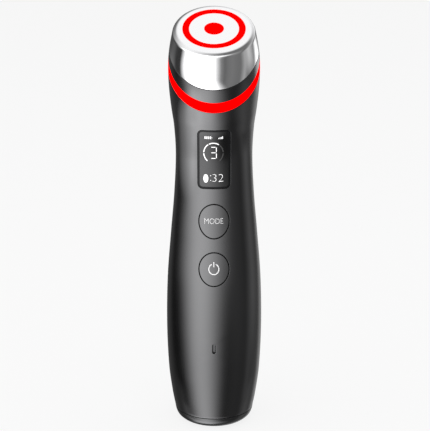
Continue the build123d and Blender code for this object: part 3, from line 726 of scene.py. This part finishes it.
def obround(width, height):
    def outline(margin):
        radius = height / 2 + margin
        straight = width / 2 - height / 2
        points = []
        for side in (1, -1):
            for i in range(CAP_STEPS + 1):
                angle = pi * i / CAP_STEPS - pi / 2
                points.append((side * (straight + radius * cos(angle)), side * radius * sin(angle)))
        return points

    return outline


def circle_outline(radius, y):
    def outline(margin):
        return [(u, y + v) for u, v in oval_points(radius + margin, radius + margin)]

    return outline


def bottom_cap():
    """Rounded base with its spigot, the inlet's opening and two screw holes."""
    inside = spigot_radius - spigot_wall
    flank = cap_flank()
    rim = rounded_corner(Vector(flank[-2]), Vector(flank[-1]), Vector((spigot_radius, seam_low)), edge_round)
    profile = [(0.0, 0.0), (base_radius / 2, 0.0)] + flank[:-1] + rim
    profile += [(spigot_radius, seam_low), (spigot_radius, spigot_top), (inside, spigot_top)]
    profile += [(inside, cap_floor), (0.0, cap_floor)]
    cap = lathe(profile).build("bottom_cap_shell", [graphite])
    cutters = [cutter("inlet_cutter", obround(inlet_width, inlet_height), inlet_depth)]
    for side in (-1, 1):
        outline = circle_outline(screw_hole_radius, side * cap_screw_offset)
        cutters.append(cutter("screw_cutter", outline, screw_hole_depth))
    for tool in cutters:
        modifier = cap.modifiers.new("cut", "BOOLEAN")
        modifier.object = tool
        modifier.operation = "DIFFERENCE"
        modifier.solver = "EXACT"
    bpy.context.view_layer.update()
    mesh = bpy.data.meshes.new_from_object(cap.evaluated_get(bpy.context.evaluated_depsgraph_get()))
    cap.modifiers.clear()
    cap.data = mesh
    mesh.shade_smooth()
    mesh.set_sharp_from_angle(angle=CAP_SHARP_ANGLE)
    for tool in cutters:
        bpy.data.objects.remove(tool)
    return cap


# ---- Words and signs that follow the front ----
print_thickness = 0.06


def flat_curve(polygons):
    """Filled flat shapes as a mesh, from closed outlines in X and Z."""
    curve = bpy.data.curves.new("shapes", "CURVE")
    curve.dimensions = "2D"
    curve.fill_mode = "BOTH"
    curve.extrude = print_thickness / 2
    for polygon in polygons:
        spline = curve.splines.new("POLY")
        spline.points.add(len(polygon) - 1)
        for point, (x, z) in zip(spline.points, polygon):
            point.co = (x, z, 0, 1)
        spline.use_cyclic_u = True
    return mesh_of(curve)


def lettering(words, middle, width, height, thinning):
    """Words in the plain built-in letters, as a mesh scaled to a width and a height round its middle in X."""
    text = bpy.data.curves.new("letters", "FONT")
    text.body = words
    text.extrude = print_thickness / 2
    text.offset = -thinning
    text.resolution_u = 6
    mesh = mesh_of(text)
    xs = [v.co.x for v in mesh.vertices]
    ys = [v.co.y for v in mesh.vertices]
    for v in mesh.vertices:
        v.co.x = middle + (v.co.x - (min(xs) + max(xs)) / 2) * width / (max(xs) - min(xs))
        v.co.y = (v.co.y - (min(ys) + max(ys)) / 2) * height / (max(ys) - min(ys))
    return mesh


def mesh_of(curve):
    maker = bpy.data.objects.new("maker", curve)
    bpy.context.scene.collection.objects.link(maker)
    bpy.context.view_layer.update()
    mesh = bpy.data.meshes.new_from_object(maker.evaluated_get(bpy.context.evaluated_depsgraph_get()))
    bpy.data.objects.remove(maker)
    return mesh


def wrap_on_front(name, mesh, centre, material, body):
    """Bends a flat mesh onto the front at a height."""
    bm = bmesh.new()
    bm.from_mesh(mesh)
    for axis in (0, 1):
        values = [v.co[axis] for v in bm.verts]
        cut = (int(min(values) / SIGN_STEP) - 1) * SIGN_STEP
        while cut < max(values):
            normal = Vector((1, 0, 0)) if axis == 0 else Vector((0, 1, 0))
            geometry = bm.verts[:] + bm.edges[:] + bm.faces[:]
            bmesh.ops.bisect_plane(bm, geom=geometry, dist=1e-5, plane_co=normal * cut, plane_no=normal)
            cut += SIGN_STEP
    for v in bm.verts:
        x, z, out = v.co.x, v.co.y, v.co.z
        surface = front_point(x, centre + z, 0.0)
        v.co = Vector((x, surface.y - out, surface.z)) * MM
    bmesh.ops.remove_doubles(bm, verts=bm.verts, dist=SIGN_WELD * MM)
    bmesh.ops.recalc_face_normals(bm, faces=bm.faces)
    bm.to_mesh(mesh)
    bm.free()
    mesh.materials.clear()
    mesh.materials.append(material)
    piece = bpy.data.objects.new(name, mesh)
    bpy.context.scene.collection.objects.link(piece)
    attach(piece, body)


def arc_band(middle, radius, stroke, start, end, stretch):
    """Outline of a band along an arc round a middle in X; angles in degrees, clockwise from the top."""
    steps = int(ARC_STEPS_PER_TURN * (end - start) / 360)
    angles = [radians(mix(start, end, i / steps)) for i in range(steps + 1)]
    inner_radius = radius - stroke
    outer = [(middle + radius * sin(a), stretch * radius * cos(a)) for a in angles]
    inner = [(middle + inner_radius * sin(a), stretch * inner_radius * cos(a)) for a in reversed(angles)]
    return outer + inner


def bar(x_low, x_high, z_low, z_high):
    return [(x_low, z_low), (x_high, z_low), (x_high, z_high), (x_low, z_high)]


# ---- Materials ----
GRAIN_DETAIL = 3.0
DRIFT_SCALE, DRIFT_DETAIL = 60.0, 2.0


def new_material(name):
    material = bpy.data.materials.new(name)
    material.use_nodes = True
    shader = material.node_tree.nodes["Principled BSDF"]
    return material, material.node_tree, shader


def feed(tree, node, *values, **named):
    """Sets each input, by its place or its name, to a value or links it to an output."""
    sockets = list(zip(node.inputs, values))
    sockets += [(node.inputs[name.replace("_", " ")], value) for name, value in named.items()]
    for socket, value in sockets:
        if isinstance(value, bpy.types.NodeSocket):
            tree.links.new(value, socket)
        else:
            socket.default_value = value
    return node


def add_node(tree, kind, settings=None, *values, **named):
    node = tree.nodes.new("ShaderNode" + kind)
    for name, value in (settings or {}).items():
        setattr(node, name, value)
    return feed(tree, node, *values, **named)


def noise(tree, scale, detail):
    """Noise on the object's own coordinates, which are in metres."""
    where = add_node(tree, "TexCoord").outputs["Object"]
    return add_node(tree, "TexNoise", Scale=scale, Detail=detail, Vector=where).outputs["Fac"]


def mapped(tree, source, **ends):
    """Maps a value from one range to another."""
    return add_node(tree, "MapRange", Value=source, **ends).outputs["Result"]


def grey(level):
    return (level, level, level, 1)


def blend(tree, share, first, second):
    """Mixes two colours by a share; each is a colour or an output."""
    colours = {"Factor": share, "A": first, "B": second}
    return add_node(tree, "Mix", {"data_type": "RGBA"}, **colours).outputs["Result"]


def finish_material(
    name, colour, metallic, roughness, grain, grain_depth, colour_share=0.06, roughness_share=0.12, **sockets
):
    """Surface with a fine grain, and slight drift of colour and roughness over a larger scale."""
    material, tree, shader = new_material(name)
    fine, broad = noise(tree, grain, GRAIN_DETAIL), noise(tree, DRIFT_SCALE, DRIFT_DETAIL)
    dark = tuple(c * (1 - colour_share) for c in colour)
    light = tuple(min(c * (1 + colour_share), 1.0) for c in colour)
    low, high = roughness * (1 - roughness_share), roughness * (1 + roughness_share)
    relief = add_node(tree, "Bump", Distance=grain_depth * MICROMETRE, Strength=1.0, Height=fine)
    drift = mapped(tree, broad, To_Min=low, To_Max=high)
    tint = blend(tree, fine, (*dark, 1), (*light, 1))
    feed(tree, shader, Base_Color=tint, Metallic=metallic, Roughness=drift, Normal=relief.outputs["Normal"])
    feed(tree, shader, **sockets)
    return material


def glow(colour, strength):
    return {"Emission_Color": (*colour, 1), "Emission_Strength": strength}


WHITE = (1, 1, 1)
graphite = finish_material("graphite_paint", (0.095, 0.095, 0.097), 1.0, 0.22, 9000, 0.5, 0.06)
polished = finish_material("polished_electrode", (0.88, 0.88, 0.89), 1.0, 0.09, 4000, 0.2, 0.01, 0.3)
smoked = finish_material("smoked_window", (0.051, 0.051, 0.052), 1.0, 0.24, 9000, 0.3, 0.03)
black_print = finish_material(
    "black_print", (0.008, 0.008, 0.009), 0.0, 0.4, 9000, 0.5, 0.1, Specular_IOR_Level=0.15
)
# The white print on the keys carries a painted glow: its faint emission makes it brighter than the lamps
# alone light it, though nothing lights it from inside.
white_print_painted_glow = finish_material(
    "white_print_painted_glow", (0.85, 0.85, 0.85), 0.0, 0.5, 9000, 0.5, 0.02, **glow(WHITE, 0.25)
)
lit_white = finish_material("lit_white", (0.5, 0.5, 0.5), 0.0, 0.5, 9000, 0.5, 0.02, **glow(WHITE, 0.95))
lit_faint = finish_material("lit_faint", (0.05, 0.05, 0.05), 0.0, 0.5, 9000, 0.5, 0.02, **glow(WHITE, 0.015))
red_glow = glow((1, 0.0, 0.0), 0.9)
red_diffuser = finish_material(
    "red_diffuser", (0.8, 0.0, 0.0), 0.0, 0.45, 6000, 1.0, 0.03, Specular_IOR_Level=0.0, **red_glow
)
lit_led = finish_material("led_body", (0.9, 0.87, 0.78), 0.0, 0.25, 4000, 1.0, **glow((1, 0.02, 0.0), 0.4))

SLOT_FINISHES = {
    "graphite_paint": graphite,
    "polished_metal": polished,
    "red_diffuser": red_diffuser,
    "smoked_window": smoked,
    "led": lit_led,
}
# Slot, material, colour, metallic, roughness, grain, its depth in micrometres and its share of the colour
for slot, *finish in (
    ("screen", "screen_glass", (0.02, 0.02, 0.025), 0.0, 0.1, 3000, 0.2),
    ("white_plastic", "white_plastic", (0.78, 0.78, 0.76), 0.0, 0.5, 5000, 3.0),
    ("black_plastic", "black_plastic", (0.03, 0.03, 0.03), 0.0, 0.5, 5000, 3.0),
    ("plunger_plastic", "plunger_plastic", (0.72, 0.69, 0.6), 0.0, 0.45, 5000, 2.0),
    ("board", "board_mask", (0.02, 0.2, 0.08), 0.0, 0.3, 2500, 4.0, 0.2),
    ("flex", "polyimide", (0.68, 0.36, 0.06), 0.0, 0.25, 3000, 1.0, 0.1),
    ("contact_gold", "contact_gold", (0.88, 0.66, 0.28), 1.0, 0.2, 5000, 1.0),
    ("steel", "plated_steel", (0.62, 0.62, 0.63), 1.0, 0.3, 6000, 2.0, 0.1),
    ("silicone", "silicone", (0.1, 0.1, 0.1), 0.0, 0.65, 4000, 3.0),
    ("ferrite", "ferrite", (0.09, 0.09, 0.1), 0.0, 0.6, 3500, 8.0, 0.2),
    ("copper", "enamelled_copper", (0.75, 0.36, 0.2), 1.0, 0.3, 5000, 5.0, 0.15),
    ("capacitor_can", "capacitor_can", (0.7, 0.7, 0.73), 1.0, 0.3, 5000, 1.0),
    ("battery_can", "shrink_wrap", (0.05, 0.24, 0.5), 0.0, 0.3, 1500, 4.0, 0.08),
    ("red_wire", "red_wire", (0.6, 0.03, 0.03), 0.0, 0.45, 4000, 2.0),
    ("white_wire", "white_wire", (0.8, 0.8, 0.8), 0.0, 0.45, 4000, 2.0),
    ("smoked_pipe", "smoked_pipe", (0.11, 0.11, 0.115), 0.3, 0.3, 6000, 1.0),
):
    SLOT_FINISHES[slot] = finish_material(*finish)

for entry in frame["record"]["subparts"]:
    mesh = nodes[entry["node"]].data
    mesh.materials.clear()
    mesh.materials.append(SLOT_FINISHES[entry["material_slot"]])

# The indicator low on the grip is unlit in the photo.
unlit_led = finish_material("unlit_led", (0.3, 0.29, 0.26), 0.0, 0.25, 4000, 1.0)
nodes["indicator_led"].data.materials[0] = unlit_led

# ---- Shells ----
stand_for(body_shell().build("grip_shell", [graphite]), "body_shell", "housing")
stand_for(head_collar().build("collar_band", [graphite]), "head_collar", "housing")
stand_for(neck_light_ring().build("light_ring", [red_diffuser]), "neck_light_ring", "housing")
head = outer_electrode().build("head_electrode", [polished])
stand_for(head, "outer_electrode", "housing")
stand_for(bottom_cap(), "bottom_cap", "housing")
inner_disc = face_disc(ring_lens_inner - lens_gap, centre_lens_radius + lens_gap, electrode_thickness)
stand_for(inner_disc.build("middle_electrode", [polished]), "inner_electrode", "housing")
ring_disc = face_disc(ring_lens_outer, ring_lens_inner, lens_thickness)
stand_for(ring_disc.build("face_light_ring", [red_diffuser]), "face_ring_lens", "housing")
dot = face_disc(centre_lens_radius, 0, lens_thickness)
stand_for(dot.build("face_light_dot", [red_diffuser]), "centre_lens", "housing")
window = display_window().build("window_pane", [smoked, black_print])
stand_for(window, "display_window", "housing")
keys = (("mode_button", "mode_key", mode_centre), ("power_button", "power_key", power_centre))
for node, body, centre in keys:
    stand_for(button(centre).build(node + "_cap", [graphite]), node, body)

# ---- Display and button signs: bent onto the front at a height, each with its middle in X ----
status_height, level_height, timer_height = 130.97, 124.15, 113.25
mode_word_height, power_sign_height = 95.2, 74.7
battery_pitch, signal_pitch, signal_step = 0.76, 0.52, 0.23
row_half_height = 0.6


def display_piece(name, polygons, height, material=lit_white):
    mesh = flat_curve(polygons)
    wrap_on_front(name, mesh, height, material, "housing")


mode_word = lettering("MODE", -0.1, 7.8, 2.25, 0.021)
wrap_on_front("mode_word", mode_word, mode_word_height, white_print_painted_glow, "mode_key")

power_middle, power_radius, power_stroke, power_stretch = -0.1, 2.3, 0.36, 1.08
power_sign = [
    arc_band(power_middle, power_radius, power_stroke, 24, 336, power_stretch),
    bar(power_middle - power_stroke / 2, power_middle + power_stroke / 2, 0.9, 3.1),
]
power_mesh = flat_curve(power_sign)
wrap_on_front("power_sign", power_mesh, power_sign_height, white_print_painted_glow, "power_key")

# Battery sign and signal bars
shifts = [battery_pitch * i for i in range(4)]
battery_sign = [bar(-3.92 + x, -3.47 + x, -row_half_height, row_half_height) for x in shifts]
battery_sign.append(bar(-1.0, -0.7, -0.12, 0.12))
display_piece("battery_sign", battery_sign, status_height)
signal_bars = [
    bar(1.78 + signal_pitch * i, 2.08 + signal_pitch * i, -row_half_height, -0.09 + signal_step * i)
    for i in range(4)
]
display_piece("signal_bars", signal_bars, status_height)

# Level arc and its figure
arc_middle, arc_radius, arc_stroke, arc_stretch = -0.25, 4.2, 0.4, 1.09


def level_arc(*ranges):
    """Parts of the level arc between pairs of angles."""
    return [arc_band(arc_middle, arc_radius, arc_stroke, *angles, arc_stretch) for angles in ranges]


display_piece("level_arc", level_arc((-142, -93), (-87, -33), (-27, 33)), level_height)
display_piece("level_arc_rest", level_arc((37, 87), (93, 142)), level_height, lit_faint)
figure_half, figure_rise, figure_stroke = 1.12, 2.6, 0.33
figure_end, figure_break = figure_half - 0.5, 0.28
figure = [
    bar(-figure_half, figure_end, figure_rise - figure_stroke, figure_rise),
    bar(-figure_half, figure_end, -figure_stroke / 2, figure_stroke / 2),
    bar(-figure_half, figure_end, -figure_rise, figure_stroke - figure_rise),
    bar(figure_half - figure_stroke, figure_half, figure_break, figure_rise - figure_break),
    bar(figure_half - figure_stroke, figure_half, figure_break - figure_rise, -figure_break),
]
display_piece("level_figure", figure, level_height + 0.1)

# Timer row: its minutes are a filled oval.
oval_middle, oval_half_width, oval_half_height, oval_steps = -3.42, 1.03, 1.78, 36
oval = [(oval_middle + x, z) for x, z in oval_points(oval_half_width, oval_half_height, oval_steps)]
display_piece("timer_minutes", [oval], timer_height)
dots = [bar(-1.58, -1.26, 1.05, 1.38), bar(-1.58, -1.26, -0.92, -0.59)]
display_piece("timer_dots", dots, timer_height)
timer_word = lettering("32", 1.57, 4.65, 3.2, 0.029)
wrap_on_front("timer_seconds", timer_word, timer_height + 0.2, lit_white, "housing")

# ---- Studio ----
background_white = 0.956
camera_height_angle = radians(16.0)
camera_distance = 600.0
aim_height = 92.612
image_width = 430
focal_pixels = 1395.35
sensor_width = 36.0
sideways = 0.39
floor_reach = 4.0
floor_whiteness = 0.9


def studio_camera():
    data = bpy.data.cameras.new("camera")
    data.sensor_fit = "HORIZONTAL"
    data.sensor_width = sensor_width
    data.lens = focal_pixels * sensor_width / image_width
    camera = bpy.data.objects.new("camera", data)
    back = camera_distance * cos(camera_height_angle)
    rise = camera_distance * sin(camera_height_angle)
    camera.location = Vector((sideways, -back, aim_height + rise)) * MM
    camera.rotation_euler = (pi / 2 - camera_height_angle, 0, 0)
    bpy.context.scene.collection.objects.link(camera)
    bpy.context.scene.camera = camera


def camera_share(tree):
    return add_node(tree, "LightPath").outputs["Is Camera Ray"]


def studio_floor():
    """Pale floor, white to the camera apart from a soft shadow."""
    mesh = bpy.data.meshes.new("floor")
    corners = [(-floor_reach, -floor_reach, 0), (floor_reach, -floor_reach, 0)]
    corners += [(floor_reach, floor_reach, 0), (-floor_reach, floor_reach, 0)]
    mesh.from_pydata(corners, [], [(0, 1, 2, 3)])
    floor = bpy.data.objects.new("floor", mesh)
    bpy.context.scene.collection.objects.link(floor)
    floor.visible_glossy = False
    material, tree, shader = new_material("pale_floor")
    colour = blend(tree, noise(tree, 40.0, 2.0), grey(0.79), grey(0.81))
    feed(tree, shader, Base_Color=colour, Roughness=0.9)
    share = add_node(tree, "Math", {"operation": "MULTIPLY"}, camera_share(tree), floor_whiteness)
    white = add_node(tree, "Emission", Color=grey(background_white)).outputs["Emission"]
    seen = add_node(tree, "MixShader", None, share.outputs["Value"], shader.outputs["BSDF"], white)
    feed(tree, tree.nodes["Material Output"], Surface=seen.outputs["Shader"])
    mesh.materials.append(material)


# Soft lights round the object, as it meets them at six heights. Each set has a plain level, and for each
# light the bearing of its middle in degrees from the front, positive to the right, its reach to the left and
# to the right, and its brightness.
WAIST_LIGHTS = (0.02, ((-36, 82, 96, 0.96), (60, 60, 40, 0.05), (108, 24, 30, 0.13)))
LEVEL_LIGHTS = (
    0.01,
    ((-35, 63, 72, 0.92), (60, 60, 50, 0.06), (108, 26, 26, 0.17), (150, 34, 50, 0.09), (-145, 40, 25, 0.07)),
)
BASE_LIGHTS = (
    0.01,
    ((-34, 55, 68, 0.79), (60, 60, 50, 0.042), (98, 18, 16, 0.09), (150, 30, 60, 0.07), (-145, 40, 25, 0.07)),
)
STEEP_LIGHTS = (0.035, ((-50, 66, 106, 0.93), (108, 22, 22, 0.1), (150, 22, 40, 0.14)))
BELOW_LIGHTS = (0.05, ((-62, 90, 150, 0.93),))
ABOVE_LIGHTS = (0.045, ((-60, 90, 90, 0.23), (165, 85, 32, 0.22)))
overhead_level = 0.29
studio_strength = 3.7
bearing_step = 12
# Heights, as sines of elevation, between which one set of lights gives way to the next
waist_start, waist_end = -0.28, -0.13
base_start, base_end = -0.28, -0.47
below_start, below_end = -0.82, -0.9
above_start, above_end = 0.02, 0.15
overhead_start, overhead_end = 0.66, 0.9
# The head's own lean, for the height that parts its reflections from the grip's
steep_start, steep_end = -0.54, -0.62
steep_lean = -head_tilt


def light_level(lights, bearing):
    """Brightness of a set of lights at a bearing; each light fades smoothly to the ends of its reach."""
    level, boxes = lights
    for middle, left_reach, right_reach, brightness in boxes:
        away = (bearing - middle + 180) % 360 - 180
        share = min(abs(away) / (right_reach if away > 0 else left_reach), 1.0)
        level += brightness * cos(share * pi / 2) ** 2
    return level


def light_ramp(tree, source, lights):
    """Brightness of a set of lights all round the object."""
    ramp = add_node(tree, "ValToRGB", Fac=source)
    elements = ramp.color_ramp.elements
    elements.remove(elements[-1])
    for bearing in range(-180, 181, bearing_step):
        position = 0.5 + bearing / 360
        element = elements[0] if bearing == -180 else elements.new(position)
        element.position = position
        element.color = grey(light_level(lights, bearing))
    return ramp.outputs["Color"]


def rotated(tree, direction, turn):
    return add_node(tree, "Mapping", Rotation=turn, Vector=direction).outputs["Vector"]


def height_of(tree, direction):
    return add_node(tree, "SeparateXYZ", Vector=direction).outputs["Z"]


def studio_world():
    """White to the camera, and softboxes with dark gaps between them for light and reflections."""
    world = bpy.data.worlds.new("studio")
    bpy.context.scene.world = world
    world.use_nodes = True
    tree = world.node_tree
    tree.nodes.clear()
    where = add_node(tree, "TexCoord").outputs["Generated"]
    bearing = rotated(tree, where, (0, 0, pi / 2))
    around = add_node(tree, "TexGradient", {"gradient_type": "RADIAL"}, Vector=bearing).outputs["Fac"]
    waist, level, base, steep, below, above = (
        light_ramp(tree, around, lights)
        for lights in (WAIST_LIGHTS, LEVEL_LIGHTS, BASE_LIGHTS, STEEP_LIGHTS, BELOW_LIGHTS, ABOVE_LIGHTS)
    )
    height = height_of(tree, where)
    leaning_height = height_of(tree, rotated(tree, where, (steep_lean, 0, 0)))
    colour = level
    for measure, start, end, lights in (
        (height, waist_start, waist_end, waist),
        (height, base_start, base_end, base),
        (leaning_height, steep_start, steep_end, steep),
        (height, below_start, below_end, below),
        (height, above_start, above_end, above),
        (height, overhead_start, overhead_end, grey(overhead_level)),
    ):
        share = mapped(tree, measure, From_Min=start, From_Max=end)
        colour = blend(tree, share, colour, lights)
    studio = add_node(tree, "Background", Strength=studio_strength, Color=colour).outputs["Background"]
    white = add_node(tree, "Background", Color=grey(background_white)).outputs["Background"]
    seen = add_node(tree, "MixShader", None, camera_share(tree), studio, white)
    add_node(tree, "OutputWorld", Surface=seen.outputs["Shader"])


def area_lamp(name, centre, facing, width, height, power):
    """Rectangular lamp; sizes in millimetres."""
    data = bpy.data.lights.new(name, "AREA")
    data.shape = "RECTANGLE"
    data.size, data.size_y = width * MM, height * MM
    data.energy = power
    lamp = bpy.data.objects.new(name, data)
    lamp.location = Vector(centre) * MM
    lamp.rotation_euler = Vector(facing).to_track_quat("-Z", "Y").to_euler()
    bpy.context.scene.collection.objects.link(lamp)
    return lamp


def softbox(name, centre, facing, width, height, brightness, spread=180.0):
    """Softbox that dims to its rim, for the bright stripes on the sides; spread is its beam in degrees."""
    lamp = area_lamp(name, centre, facing, width, height, brightness * pi * width * height * MM * MM)
    lamp.visible_camera = False
    data = lamp.data
    if spread < 180:
        half_spread = radians(spread / 2)
        data.spread = 2 * half_spread
        data.energy *= 1 - half_spread / tan(half_spread)
    data.use_nodes = True
    tree = data.node_tree
    middle, half = (0.5, 0.5, 0), (0.5, 0.5, 1)
    place_on_lamp = add_node(tree, "NewGeometry").outputs["Parametric"]
    settings = {"vector_type": "TEXTURE"}
    from_centre = add_node(tree, "Mapping", settings, Location=middle, Scale=half, Vector=place_on_lamp)
    fade = add_node(tree, "TexGradient", {"gradient_type": "SPHERICAL"}, Vector=from_centre.outputs["Vector"])
    feed(tree, tree.nodes["Emission"], Strength=fade.outputs["Fac"])


studio_camera()
studio_floor()
studio_world()
overhead = area_lamp("overhead_lamp", (0.0, -200.0, 1200.0), (0, 200, -1120), 1000.0, 1000.0, 8.0)
overhead.visible_glossy = False
softbox("head_softbox", (-62.0, -41.0, 129.0), (1, 0, 0), 58.0, 66.0, 2.5)
softbox("neck_softbox", (-36.0, -14.0, 116.0), (1, 0, 0), 50.0, 34.0, 1.9)
softbox("rim_softbox", (51.0, 27.0, 154.0), (-57, -78, 17), 40.0, 46.0, 1.8)
softbox("chin_softbox", (-45.0, -28.0, 97.0), (36, 13, 38), 64.0, 64.0, 3.4, spread=70.0)

bpy.context.scene.view_settings.view_transform = "Standard"
